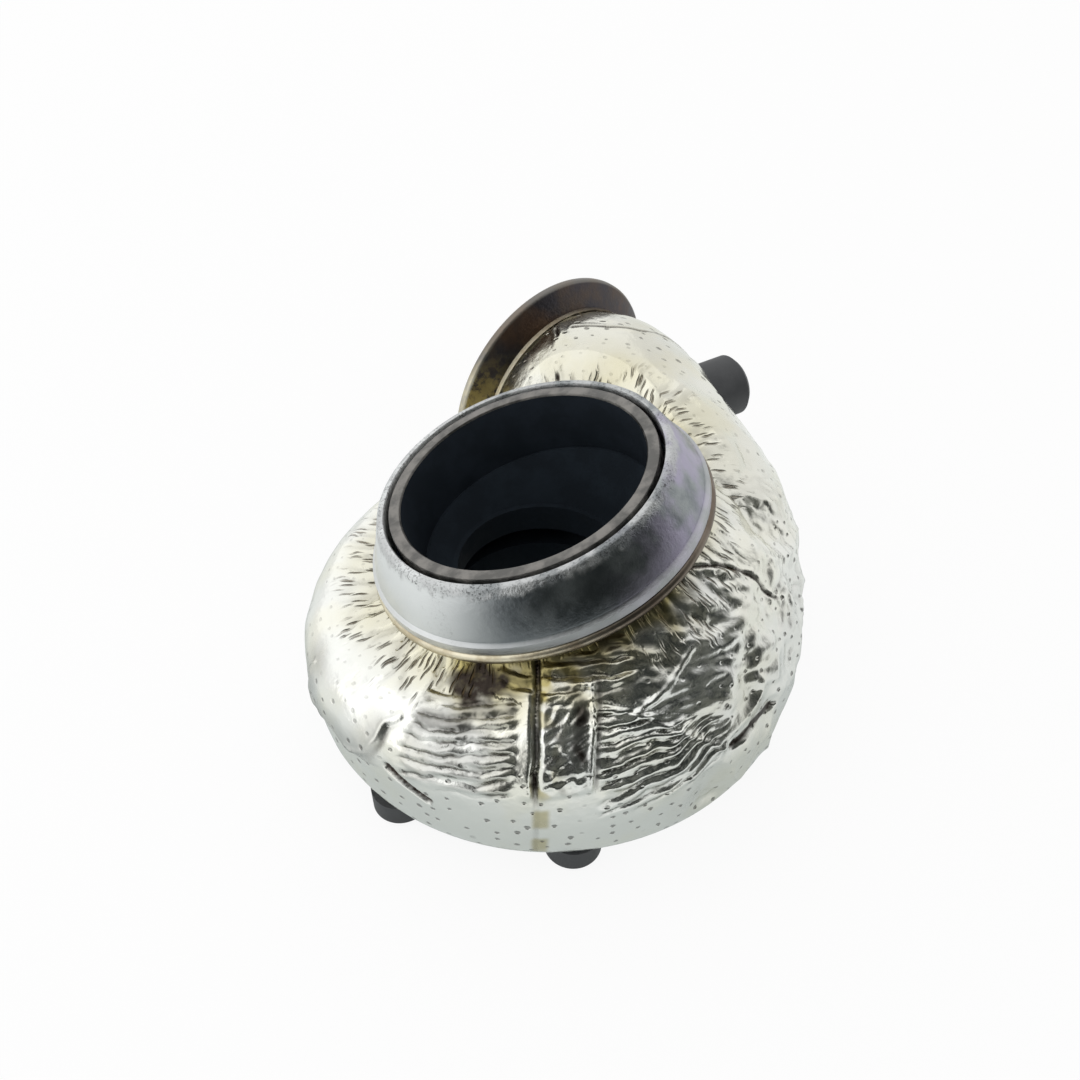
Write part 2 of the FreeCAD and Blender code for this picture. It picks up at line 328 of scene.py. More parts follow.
def flangeLook(name):
    # burnt steel: rusty in the middle, straw coloured speckle on the side towards the outlet, and a painted highlight
    # along the rim
    s = Shader(bpy.data.materials.new(name))
    f = flangeFinish
    low = s.along((-0.8, 0.0, -0.6)) + (inletAt.x * 0.8 + inletAt.z * 0.6) * mm + (s.noise(0.02) - 0.5) * 0.03
    straw = s.step(low, 0.000, 0.026)
    cloud = s.noise(0.014, 5.0, 0.6)
    values = {0: s.place(), 1: (1.0, 0.0, 1.0), 2: (-inletAt.x * mm, 0.0, -inletAt.z * mm)}
    flat = s.make("ShaderNodeVectorMath", {"operation": "MULTIPLY_ADD"}, values)
    radius = s.make("ShaderNodeVectorMath", {"operation": "LENGTH"}, {0: flat}, output="Value")
    colour = s.mix(s.step(cloud, 0.38, 0.66), f["violet"], f["brown"])
    colour = s.mix(s.step(s.noise(0.022, 4.0), 0.50, 0.66) * 0.5, colour, f["rust"])
    colour = s.mix(straw * s.step(s.noise(0.006, 4.0, 0.7), 0.40, 0.58) * 0.85, colour, f["straw"])
    # painted highlight along the outer rim
    colour = s.mix(s.step(radius, *f["rimHighlightFrom"]) * (straw * 0.5 + 0.2), colour, f["edge"])
    rough = s.step(cloud, 0.3, 0.7) * 0.15 + 0.34
    return s.coat(colour, rough, s.bump(s.noise(0.0012, 2.0) + cloud * 2.0, 0.0001))


hemFinish = {"straw": (0.72, 0.67, 0.52), "tan": (0.52, 0.45, 0.31), "brown": (0.13, 0.10, 0.085)}


def hemLook(name):
    # rolled band: straw coloured towards the left, brown towards the right
    s = Shader(bpy.data.materials.new(name))
    cloud = s.noise(0.009, 4.0, 0.6)
    tintedAndDarkened = s.step(s.along(axes["screenRight"]) + (cloud - 0.5) * 0.02, -0.012, 0.030)
    colour = s.mix(s.step(cloud, 0.38, 0.66), hemFinish["straw"], hemFinish["tan"])
    colour = s.mix(tintedAndDarkened * 0.88, colour, hemFinish["brown"])
    return s.coat(colour, s.step(cloud, 0.3, 0.7) * 0.15 + 0.32, s.bump(cloud, 0.0003))


# plain finishes in two clouded colours
cloudy = {
    "castIron": {
        "first": (0.013, 0.018, 0.024), "second": (0.018, 0.025, 0.033), "roughness": 0.8, "metallic": 0.0, "shine": 0.1},
    "sootedBore": {
        "first": (0.010, 0.014, 0.019), "second": (0.014, 0.019, 0.026), "roughness": 0.8, "metallic": 0.0,
        "shine": 0.1, "depth": 0.00005},
    "linerSteel": {
        "first": (0.12, 0.118, 0.112), "second": (0.25, 0.24, 0.225), "roughness": 0.45, "patch": 0.007},
    "studSteel": {
        "first": (0.35, 0.35, 0.36), "second": (0.45, 0.45, 0.46)},
    "blackCap": {
        "first": (0.036, 0.038, 0.041), "second": (0.054, 0.056, 0.059), "roughness": 0.55, "metallic": 0.0,
        "depth": 0.00005},
    "fibreWool": {
        "first": (0.70, 0.67, 0.58), "second": (0.60, 0.57, 0.48), "roughness": 0.9, "metallic": 0.0, "depth": 0.0006},
}


def cloudyLook(name, first, second, roughness=0.35, patch=0.012, metallic=1.0, depth=0.0001, shine=0.5):
    s = Shader(bpy.data.materials.new(name))
    cloud = s.noise(patch, 5.0, 0.6)
    colour = s.mix(s.step(cloud, 0.38, 0.66), first, second)
    rough = s.step(cloud, 0.3, 0.7) * 0.18 + (roughness - 0.08)
    return s.coat(colour, rough, s.bump(s.noise(0.0012, 2.0) + cloud * 2.0, depth), metallic, shine)


castIron, sootedBore, linerSteel, studSteel, blackCap, fibreWool = [
    cloudyLook(name, **finish) for name, finish in cloudy.items()]
collarSteel = collarLook("collarSteel")
hemSteel = hemLook("hemSteel")
flangeSteel = flangeLook("flangeSteel")
foilPlain = foilMaterial("foilPlain", False)
foilSkin = foilMaterial("foilSkin", True)
print("materials made")


def finishPiece(name, bm, material, slotName, *stoodFor):
    mesh = bpy.data.meshes.new(name)
    bm.to_mesh(mesh)
    bm.free()
    piece = bpy.data.objects.new(name, mesh)
    bpy.context.scene.collection.objects.link(piece)
    mesh.materials.append(material)
    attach(piece, "root")
    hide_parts(*stoodFor)
    return piece


# turned pieces: radius and height over the face of the outlet or the inlet
turned = {
    "steps": 160,
    "sharp": 38.0,                    # edges sharper than this stay crisp
    "bore": 45.1,
    "collar": (
        (51.2, -0.6), (51.6, 0), (53.2, 0), (54.0, -0.6), (61.4, -16.6), (61.5, -17.4), (62.2, -18.0),
        (62.9, -18.4), (63.0, -19.2), (63.0, -21.4), (62.4, -22.0), (56.0, -22.0), (56.0, -12.0), (51.2, -12.0)),
    "liner": (
        (45.0, -0.8), (45.5, -0.1), (46.2, 0), (48.8, 0), (49.3, -0.2), (49.6, -0.8), (49.6, -26.0), (45.0, -26.0)),
    "hem": (
        (56.0, -22.0), (62.6, -22.0), (63.4, -22.4), (63.9, -23.2), (63.9, -24.6), (63.3, -25.6), (62.0, -26.2),
        (56.0, -26.2)),
    "flange": (
        (34.0, -0.8), (34.8, 0), (53.2, 0), (54.0, -0.5), (54.2, -1.2), (54.2, -2.6), (53.9, -3.3), (53.2, -3.8),
        (44.0, -9.0), (34.0, -9.0)),
}


def turn(name, profile, point, axis, material, slotName, stoodFor):
    bm = bmesh.new()
    lie = Vector((0, 0, 1)).rotation_difference(axis).to_matrix().to_4x4()
    verts = [bm.verts.new((r * mm, 0, h * mm)) for r, h in turned[profile]]
    edges = [bm.edges.new((verts[k], verts[(k + 1) % len(verts)])) for k in range(len(verts))]
    bmesh.ops.spin(
        bm, geom=verts + edges, cent=(0, 0, 0), axis=(0, 0, 1), angle=2 * math.pi,
        steps=turned["steps"], use_merge=True)
    bmesh.ops.remove_doubles(bm, verts=bm.verts, dist=1e-6)
    bmesh.ops.recalc_face_normals(bm, faces=bm.faces)
    bmesh.ops.transform(bm, matrix=Matrix.Translation(point * mm) @ lie, verts=bm.verts)
    for face in bm.faces:
        face.smooth = True
    for edge in bm.edges:
        if edge.is_manifold and edge.calc_face_angle() > math.radians(turned["sharp"]):
            edge.smooth = False
    return finishPiece(name, bm, material, slotName, stoodFor)


turn("collar_turned", "collar", outletFace, outDir, collarSteel, "collar_steel", "outlet_collar")
liner = turn("liner_turned", "liner", outletFace, outDir, linerSteel, "liner_steel", "outlet_liner")
turn("hem_turned", "hem", outletFace, outDir, hemSteel, "hem_steel", "collar_hem")
turn("flange_turned", "flange", inletAt, Vector((0, 1, 0)), flangeSteel, "flange_steel", "inlet_flange")
liner.data.materials.append(sootedBore)
for polygon in liner.data.polygons:
    if roundOutlet(polygon.center / mm)[1] < turned["bore"]:
        polygon.material_index = 1
print("turned pieces made")

# sheet cover: a hull of rings, remeshed and laid on the solids, mm
sheet = {
    "voxel": 0.75,
    "proud": 1.3,                     # the hull lies this far outside before it is laid on the solids
    "ring": 72,
    "parts": 6,                       # rings made between two given ones
    "edgeRadius": 58.0,               # where the sheet starts under the collar
    "edgeDrop": 24.5,
    "hole": 57.2,
    "bottom": 4.0,
    "inletCut": 77.6,
    "inletHole": 46.0,
    "bodyMajor": -22.7,
    # centre, tilt of the ring, long and short half width
    "body": (
        (outletFace + outDir * -24.5, 17.0, 58.0, 58.0),
        (outletFace + outDir * -28.0, 17.0, 60.5, 60.5),
        (Vector((0.1, -2.6, 60.0)), 11.0, 73.4, 73.0),
        (Vector((0.2, -4.7, 53.0)), 6.0, 83.9, 81.6),
        (Vector((0.3, -6.3, 41.5)), 2.5, 91.8, 88.1),
        (Vector((0.3, -6.8, 29.0)), 0.0, 94.4, 90.2),
        (Vector((0.3, -6.8, 15.0)), 0.0, 94.4, 90.2),
        (Vector((0.3, -6.8, 5.5)), 0.0, 93.0, 89.1),
        (Vector((0.3, -6.8, 0.5)), 0.0, 89.6, 85.4)),
    # centre x and y, heading, half width, half height, centre z
    "pipe": (
        (80.7, 79.2, -90.0, 42.5, 42.5, 42.5),
        (80.7, 74.2, -90.0, 45.0, 43.6, 43.0),
        (80.2, 58.2, -92.0, 49.0, 44.5, 45.0),
        (73.5, 34.2, -103.0, 48.2, 45.0, 45.5),
        (61.5, 4.0, -117.0, 50.0, 43.0, 44.0),
        (45.4, -22.6, -131.0, 51.5, 39.0, 41.0),
        (26.0, -42.8, -145.0, 41.0, 31.0, 37.0),
        (2.1, -57.4, -165.0, 32.0, 22.0, 32.0)),
    # radius from the outlet axis and the height there that the sheet stays under
    "ceiling": ((50.0, -24.5), (64.0, -24.5), (70.0, -22.0), (78.0, -16.5), (90.0, -6.5), (120.0, 35.5)),
    "ceilingGap": 0.8,
    "uvRadius": 85.0,
}


def belowCollar(radius, u):
    # distance down the sheet from its edge under the collar
    return math.hypot(max(radius - sheet["edgeRadius"], 0.0), u + sheet["edgeDrop"])


def hull(bm, rings):
    # rings of one count, bridged and capped: centre, normal, major direction, long, short
    loops = []
    for centre, normal, major, rLong, rShort in rings:
        major = (major - normal * major.dot(normal)).normalized()
        minor = normal.cross(major)
        made = bmesh.ops.create_circle(bm, cap_ends=False, segments=sheet["ring"], radius=1.0)["verts"]
        lie = Matrix((major * rLong, minor * rShort, normal)).transposed().to_4x4()
        bmesh.ops.transform(bm, matrix=Matrix.Translation(centre) @ lie, verts=made)
        loops.append([edge for edge in bm.edges if edge.verts[0] in set(made)])
    for a, b in zip(loops, loops[1:]):
        bmesh.ops.bridge_loops(bm, edges=a + b)
    bmesh.ops.contextual_create(bm, geom=loops[0])
    bmesh.ops.contextual_create(bm, geom=loops[-1])


def between(a, b, c, d, t):
    # smooth curve through b and c
    return 0.5 * ((2 * b) + (c - a) * t + (2 * a - 5 * b + 4 * c - d) * t * t + (3 * b - a - 3 * c + d) * t ** 3)


def finer(rings):
    out = []
    for k in range(len(rings) - 1):
        four = [rings[max(k - 1, 0)], rings[k], rings[k + 1], rings[min(k + 2, len(rings) - 1)]]
        for j in range(sheet["parts"]):
            out.append([between(*column, j / sheet["parts"]) for column in zip(*four)])
    out.append(list(rings[-1]))
    return out


def coverMesh():
    bm = bmesh.new()
    more = sheet["proud"]
    major = polar(1.0, sheet["bodyMajor"])
    rings = []
    for centre, tilt, rLong, rShort in finer(sheet["body"]):
        lean = math.radians(tilt)
        normal = polar(math.sin(lean), axes["azimuth"], math.cos(lean))
        rings.append((centre, normal, major, rLong + more, rShort + more))
    hull(bm, rings)
    rings = []
    for x, y, heading, wide, tall, z in finer(sheet["pipe"]):
        normal = polar(1.0, heading)
        rings.append((Vector((x, y, z)), normal, normal.cross(Vector((0, 0, 1))), wide + more, tall + more))
    hull(bm, rings)
    bmesh.ops.recalc_face_normals(bm, faces=bm.faces)
    mesh = bpy.data.meshes.new("hull")
    bm.to_mesh(mesh)
    bm.free()
    rough = bpy.data.objects.new("hull", mesh)
    bpy.context.scene.collection.objects.link(rough)
    remesh = rough.modifiers.new("remesh", "REMESH")
    remesh.mode = "VOXEL"
    remesh.voxel_size = sheet["voxel"]
    done = bpy.data.meshes.new_from_object(rough.evaluated_get(bpy.context.evaluated_depsgraph_get()))
    bpy.data.objects.remove(rough)
    bm = bmesh.new()
    bm.from_mesh(done)
    return bm


def treeOf(*names, apartFrom=None):
    # surface of some solids in mm, less the faces that touch another one
    bm = bmesh.new()
    for name in names:
        bm.from_mesh(nodes[name].data)
    bmesh.ops.scale(bm, vec=(1 / mm, 1 / mm, 1 / mm), verts=bm.verts)
    if apartFrom:
        inner = [face for face in bm.faces if apartFrom.find_nearest(face.calc_center_median())[3] < 0.3]
        bmesh.ops.delete(bm, geom=inner, context="FACES")
    tree = BVHTree.FromBMesh(bm)
    bm.free()
    return tree


def underCeiling(r):
    for (ra, ha), (rb, hb) in zip(sheet["ceiling"], sheet["ceiling"][1:]):
        if r <= rb:
            return ha + (hb - ha) * (r - ra) / (rb - ra) + sheet["ceilingGap"]


def layOn(bm, tree):
    for v in bm.verts:
        spot = tree.find_nearest(v.co)[0]
        if spot is not None:
            v.co = spot


bm = coverMesh()
print("hull remeshed:", len(bm.verts))
gone = []
for v in bm.verts:
    angle, r, u = roundOutlet(v.co)
    if sheet["ceiling"][0][0] < r < sheet["ceiling"][-1][0] and u > -30.0 and u > underCeiling(r):
        v.co += outDir * (underCeiling(r) - u)
    inInlet = v.co.y > sheet["inletCut"] and math.hypot(v.co.x - inletAt.x, v.co.z - inletAt.z) < sheet["inletHole"]
    if r < sheet["hole"] and u > -40.0 or v.co.z < sheet["bottom"] or inInlet:
        gone.append(v)
bmesh.ops.delete(bm, geom=gone, context="VERTS")
tree = treeOf("foil_left", "foil_right", "foil_pan", apartFrom=treeOf("insulation_mat"))
for _ in range(2):
    layOn(bm, tree)
    bmesh.ops.smooth_vert(bm, verts=bm.verts, factor=0.5, use_axis_x=True, use_axis_y=True, use_axis_z=True)
layOn(bm, tree)
bm.normal_update()
print("laid on the solids:", len(bm.verts))


class Spot:
    # a point of the sheet and where it lies, mm and degrees
    def __init__(self, p):
        self.p = p
        self.angle, radius, u = roundOutlet(p)
        self.s = belowCollar(radius, u)                                   # down from the collar
        self.azimuth = math.degrees(math.atan2(p.y, p.x))
        self.arc = math.radians(self.azimuth - axes["seam"]) * 90.0       # round the body from the seam
        self.d = p.dot(seamSide) + 0.8 * noise(p / 13.0)                  # across the wavy seam
        self.front = smooth(-5, 5, p.dot(seamDir))
        self.edge = smooth(0.5, 4.0, self.s)
        self.ring = polar(60.0, self.angle)


def toSegment(p, a, b):
    t = min(max((p - a).dot(b - a) / (b - a).length_squared, 0.0), 1.0)
    return (p - a.lerp(b, t)).length


def toLine(p, points):
    return min(toSegment(p, a, b) for a, b in zip(points, points[1:]))


def ridged(v, sharp=2.4):
    # 1 on thin crests, 0 between them
    return max(0.0, 1.0 - sharp * abs(noise(v)))


def field(arc, s, area):
    # an area of the sheet: a stretch round the body and one down from the collar
    return window(arc, *area[0]) * window(s, *area[1])


# slow waves all over, and the rolled edge under the collar
waves = {"long": 0.9, "short": 0.28, "rolled": 1.2}


def waved(at):
    out = (waves["long"] * noise(at.p / 26.0) + waves["short"] * noise(at.p / 9.0)) * at.edge
    return out + waves["rolled"] * window(at.s, 0.6, 4.0, 1.0) * window(at.angle, -150, 10, 12), 0.0


# crimps that radiate from the collar, weaker beside the seam and stronger on the left, their valleys darkened as
# painted shade
crimp = {
    "depth": 0.8,
    "width": 4.6,
    "reach": 19.5,                    # how far down the sheet they run
    "wander": 10.0,
    "seam": (-14, 42, 8),
    "left": (-100, -20, 8),
    # painted shade in the crimp valleys
    "dark": 0.25,
}


def pleatAt(at, fold):
    reach = crimp["reach"] + crimp["wander"] * noise(at.ring / 9.0)
    pleat = smooth(reach + 7.0, reach - 5.0, at.s) * smooth(2.5, 5.0, at.s) * (1.0 - smooth(0.0, 0.3, fold))
    return pleat * (0.85 - 0.5 * window(at.angle, *crimp["seam"]) + 0.25 * window(at.angle, *crimp["left"]))


def crimped(at, pleat):
    sway = Vector((0, 0, at.s / 19.0)) + Vector((1, 1, 0)) * 0.25 * noise(at.p / 8.0)
    crest = ridged(at.ring / crimp["width"] + sway, 3.2)
    # the second value is painted shade in the crimp valleys
    return crimp["depth"] * pleat * (0.4 - crest), crimp["dark"] * pleat * crest ** 1.5


# near parallel folds: level ones left of the seam, broad bands near the collar, a fan on the right; painted shade over
# folded areas and a painted dark reflection
folds = {
    "height": 1.1,
    "leftGap": 4.2,
    "bandGap": 4.6,
    "fanGap": 5.0,
    "left": ((-47, -8, 3), (17, 47, 3)),
    "bandRight": ((2, 42, 4), (7, 21, 3)),
    "bandLeft": ((-17, -2, 3), (6, 17, 3)),
    "fanTop": (20, 0.62),             # where the fan starts under the collar, and how fast that falls
    "fanTip": (62, 105),              # level and arc of the point where its folds meet
    # painted shade over the folded areas
    "shadedAreas": ((0.30, (-46, -24, 3), (23, 29, 2)), (0.20, (-30, -8, 4), (17, 22, 2))),
    "leftFoldShade": (0.30, (-50, -6, 4)),
    "darkReflection": (18.5, 8.5, 12.5, 8.0),   # painted dark reflection left of the seam: angle and half width, level and half height
}


def foldAt(at):
    # how strong the folds are there, and which fold it is
    f = folds
    arc = at.arc
    s = at.s + 1.6 * noise(at.p / 13.0) + 0.8 * noise(at.p / 6.0)
    strength, count = field(arc, s, f["left"]), (s + 0.09 * arc) / f["leftGap"]
    band = max(field(arc, s, f["bandRight"]), 0.8 * field(arc, s, f["bandLeft"]))
    if band > strength:
        strength, count = band, (s - 0.24 * arc) / f["bandGap"] + 40
    top = f["fanTop"][0] + f["fanTop"][1] * (arc - 20)
    level, tip = f["fanTip"]
    fan = smooth(18.5, 22.5, arc) * smooth(68, 58, arc + 8 * noise(Vector((arc / 9, s / 5, 2))))
    fan *= smooth(top - 2, top + 2, s) * smooth(64, 57, s)
    if fan > strength:
        strength, count = fan, 87 * (level - s - 0.12 * arc) / (tip - arc) / f["fanGap"] + 80
    strength *= at.front * (0.75 + 0.9 * noise(Vector((arc / 9.0, at.s / 3.5, 6.0))))
    return min(max(strength, 0.0), 1.0), count


def folded(at, fold, count):
    f = folds
    # painted shade over folded areas, and a painted dark reflection left of the seam
    dark = sum(amount * field(at.arc, at.s, area) for amount, *area in f["shadedAreas"])
    dark += f["leftFoldShade"][0] * smooth(0.2, 0.6, fold) * window(at.arc, *f["leftFoldShade"][1])
    angle, halfWide, level, halfTall = f["darkReflection"]
    darkReflection = math.hypot((at.angle + angle) / halfWide, (at.s - level) / halfTall)
    dark += 0.95 * smooth(1.15, 0.6, darkReflection + 0.5 * noise(at.p / 5.0))
    return f["height"] * fold * (abs(math.sin(math.pi * count)) - 0.5), dark


# crumpled right flank: big and small facets, lumps low down, slanting waves, a crushed area, darkened as painted shade
flank = {"facetSize": 24.0, "facets": 1.9, "small": 0.5, "low": 1.7, "slant": 1.5, "crushed": 0.5}


def crumpled(at, fold):
    p = at.p
    out = 0.0
    facets = smooth(52, 74, at.angle) * smooth(158, 120, at.angle) * smooth(14, 26, at.s)
    facets = max(facets, smooth(50, 85, at.arc) * smooth(230, 170, at.arc) * smooth(64, 48, p.z) * at.front)
    if facets > 0:
        big = p / flank["facetSize"]
        out += flank["facets"] * facets * (1.6 * abs(noise(big)) - 2.2 * abs(noise(big + Vector((9, 4, 2)))))
        out += flank["small"] * facets * (0.4 - 2.0 * abs(noise(p / 9.0 + Vector((2, 7, 1)))))
    low = smooth(30, 55, at.arc) * smooth(235, 175, at.arc) * smooth(62, 48, p.z) * at.front
    out += flank["low"] * low * (0.55 - 2.2 * abs(noise(p / 17.0 + Vector((3, 3, 8)))))
    slanting = field(at.arc, at.s, ((34, 112, 8), (13, 50, 5))) * at.front * (1.0 - fold)
    slant = Vector(((at.arc + 0.9 * at.s) / 22.0, (at.s - 0.5 * at.arc) / 8.0, 4.0))
    out += slanting * (flank["slant"] * noise(slant) + 0.9 * noise(slant * 2.3))
    # painted shade on the low lumps and the slanting waves
    dark = 0.10 * low + 0.06 * slanting
    crushed = field(at.angle, at.s, ((72, 112, 7), (26, 60, 6)))
    if crushed > 0:
        crest = ridged(p / 5.0, 3.0)
        out += flank["crushed"] * crushed * (0.5 - crest)
        # painted shade in the crushed valleys
        dark += 0.12 * crushed * crest
    return out, dark


# front seam, the bead left of it and the lapped patch right of it, measured across the seam; the grooves darkened as
# painted shade
seam = {
    "depth": 1.3,
    "run": (15, 49, 2),               # how far down the bead and the patch go
    "bead": 0.9,
    "beadWide": 4.6,
    "patch": 0.9,
    "patchEdges": (1.8, 18.5, 0.9),
    "patchInside": (3, 17, 1.5),
    "ridgeAt": 18.0,
    "grooveAt": 19.8,
    "stained": ((11.5, 16.0, 1.2), (22, 40, 3)),
}


def patchAt(at):
    return window(at.s, *seam["run"]) * at.front * window(at.d, *seam["patchInside"])


def seamed(at, inPatch):
    d, s = at.d, at.s
    onFront = at.front * smooth(1.0, 5.0, s) * (1.0 - 0.8 * smooth(48, 54, s))
    wide = 1.1 + 0.7 * noise(at.p / 4.0)
    patchy = 0.7 + 0.6 * noise(at.p / 5.0)
    run = window(s, *seam["run"]) * at.front
    out = -seam["depth"] * onFront * smooth(wide + 0.3, 0.1, abs(d))
    out += seam["bead"] * run * 0.25 * min(max(d + 6.4, 0.0), seam["beadWide"]) * smooth(-1.2, -2.0, d)
    out += seam["patch"] * run * window(d, *seam["patchEdges"])
    out += 0.9 * run * smooth(1.5, 0.2, abs(d - seam["ridgeAt"]))
    out += 0.6 * inPatch * (ridged(Vector((d / 4.5 + s / 9.0, s / 3.5, 4.0))) - 0.4)
    # painted shade in the seam groove and in the groove beside the patch
    dark = 0.95 * patchy * onFront * smooth(wide + 0.4, 0.3, abs(d))
    dark += 0.55 * run * smooth(1.3, 0.3, abs(d - seam["grooveAt"]))
    dark += 0.6 * run * field(d, s, seam["stained"])
    dark += 0.35 * inPatch * smooth(0.05, -0.3, noise(Vector((d / 4.0, s / 4.0, 9.0))))
    return out, dark


# lines on the sheet, as points on it: creases, raised ridges, pressed slots, and a lobe inside the last ridge; creases
# and the lobe's edges darkened as painted shade
lines = {
    "creases": (
        ((15.6, -57.0, 82.7), (27.1, -60.6, 78.8), (36.9, -66.6, 71.9), (43.8, -73.8, 62.6), (61.1, -75.1, 42.1)),
        ((71.5, 74.0, 86.0), (69.3, 70.1, 86.1), (55.9, 54.9, 79.0), (47.0, 45.0, 76.0)),
        ((75.9, 68.1, 87.7), (85.3, 56.9, 89.2), (95.6, 48.8, 87.3), (108.7, 44.6, 80.2), (116.0, 40.0, 72.0))),
    "ridges": (
        ((-1.2, -75.1, 69.8), (-12.2, -78.2, 65.3), (-20.3, -78.3, 62.7), (-27.6, -77.2, 60.6), (-32.2, -73.7, 61.2)),
        ((-27.6, -77.2, 60.6), (-22.3, -83.1, 57.2), (-17.1, -88.5, 52.1), (-10.2, -93.2, 45.7), (-2.4, -96.1, 38.7)),
        ((-85.6, 24.6, 38.4), (-88.8, 24.7, 24.6), (-92.5, 9.8, 23.8), (-93.4, -6.3, 27.4), (-92.0, -15.2, 33.3),
         (-89.0, -18.0, 40.5), (-84.9, -17.7, 45.5), (-81.0, -20.7, 48.5))),
    "slots": (((-90.7, -24.8, 32.1), (-85.8, -40.0, 25.6)), ((2.2, -96.8, 36.2), (24.8, -94.5, 34.8))),
    "ridgeHeight": 0.85,
    "slotDepth": 1.5,
    "lobe": 1.7,
}
creases, ridges, slots = [
    [[Vector(point) for point in line] for line in lines[word]] for word in ("creases", "ridges", "slots")]


def lined(at):
    p, s = at.p, at.s
    out = dark = 0.0
    for line in creases:
        gap = toLine(p, line)
        out += (0.35 * smooth(3.2, 1.0, gap) - 0.9 * smooth(1.0, 0.1, gap)) * at.edge
        # painted shade along the crease
        dark += 1.0 * smooth(1.2, 0.2, gap)
    for line in ridges:
        out += lines["ridgeHeight"] * smooth(1.9, 0.1, toLine(p, line) + 0.8 * noise(p / 5.0))
    for line in slots:
        gap = toLine(p, line)
        out -= lines["slotDepth"] * smooth(2.4, 1.0, gap)
        dark += 1.5 * smooth(2.1, 1.1, gap)
    behind = at.azimuth if at.azimuth < 0 else at.azimuth - 360
    lobe = smooth(49.2, 47.6, s) * smooth(26, 36, s) * smooth(-166.2, -169.8, behind) * smooth(-222, -205, behind)
    rim = toLine(p, ridges[-1])
    # painted shade inside the lobe near its edge, and a painted shade line outside the last ridge
    dark += 0.30 * lobe * smooth(13.0, 1.0, rim)
    dark += 0.6 * (1.0 - lobe) * smooth(1.5, 0.3, abs(rim - 2.4)) * smooth(30, 38, s)
    return out + lines["lobe"] * lobe, dark


# straw and gold from the heat: amount, levels down from the collar between which it fades, angles round it
heat = {
    "left": (0.45, (28, 5), (-150, -10, 20)),
    "right": (0.5, (14, 2), (-20, 140, 20)),
    "back": (0.30, (60, 20), (95, 175, 20)),
    "front": (0.9, (30, 10), (-26, 48, 10)),
    "edge": (0.35, (0.0, 4.5, 1.0), (-150, 20, 12)),
    "marks": ((54, 61, 1), (66, 76, 1)),                                  # two stains low on the seam
    "pipe": (0.16, 0.10),                                                 # tint, and painted shade that dims the top of the pipe
}


# heat tint, and painted shade under the collar at the front and on top of the pipe
def tintedAndDarkened(at):
    p, s, d = at.p, at.s, at.d
    tint = 0.0
    for word in ("left", "right", "back", "front"):
        amount, fade, angles = heat[word]
        part = amount * smooth(*fade, s) * window(at.angle, *angles)
        tint += part * (0.7 + noise(p / 7.0)) if word == "front" else part
    tint += heat["edge"][0] * window(s, *heat["edge"][1]) * window(at.angle, *heat["edge"][2])
    tint += 0.7 * at.front * smooth(3.8, 1.6, abs(d - 1.5)) * sum(window(s, *mark) for mark in heat["marks"])
    stain = smooth(-0.1, 0.3, noise(Vector((d / 5.0, s / 3.0, 5.0))) + 0.25 * smooth(4, 0, d))
    tint += 0.65 * at.front * smooth(11.0, 1.5, d) * smooth(0.3, 1.4, d) * window(s, 4, 50, 3) * stain
    onPipe = smooth(10, 40, p.y) * smooth(60, 70, p.z)
    dark = heat["pipe"][1] * onPipe
    # painted shade under the collar at the front, with some soot
    dark += 0.6 * smooth(19, 5, s) * window(at.angle, -12, 56, 10) * (0.75 + 0.8 * noise(p / 6.0))
    return tint + heat["pipe"][0] * onPipe, dark


# the relief fades out above the pan and round the side port, and stays clear of the wool
calm = {"pan": (6.0, 12.0), "port": (19.0, 27.0), "deepest": -2.4}
portVerts = nodes["port_cap"].data.vertices
portAt = sum((v.co for v in portVerts), Vector()) / len(portVerts) / mm


def shape(p):
    # how far the sheet stands out at p in mm, then its marks
    at = Spot(p)
    fold, count = foldAt(at)
    pleat = pleatAt(at, fold)
    inPatch = patchAt(at)
    tint, sootAndShade = tintedAndDarkened(at)
    pressed = [
        waved(at), crimped(at, pleat), folded(at, fold, count), crumpled(at, fold), seamed(at, inPatch), lined(at)]
    out = sum(part[0] for part in pressed) * smooth(*calm["pan"], p.z) * smooth(*calm["port"], (p - portAt).length)
    # the darkness summed here is painted shade and painted dark reflections, with some soot
    dark = sum(part[1] for part in pressed) + sootAndShade
    dimple = (0.3 + 0.7 * smooth(34, 44, at.s)) * (1.0 - 0.8 * inPatch) * (1.0 - 0.6 * fold)
    looks = [min(max(x, 0.0), 1.0) for x in (dark, tint, dimple, pleat)]
    return [max(out, calm["deepest"])] + looks + [fold, count]


# edge of the right shell seen from above, along the front seam and the seam on the pipe
rightShell = (
    (0, 0), (-169, -184), (250, -250), (250, -60), (135, 34), (116.0, 40.0), (108.7, 44.6), (95.6, 48.8),
    (85.3, 56.9), (75.9, 68.1), (71.0, 73.0))


def isRight(p):
    inside = False
    for (ax, ay), (bx, by) in zip(rightShell, rightShell[1:] + rightShell[:1]):
        if (ay > p.y) != (by > p.y) and p.x < (bx - ax) * (p.y - ay) / (by - ay) + ax:
            inside = not inside
    return inside


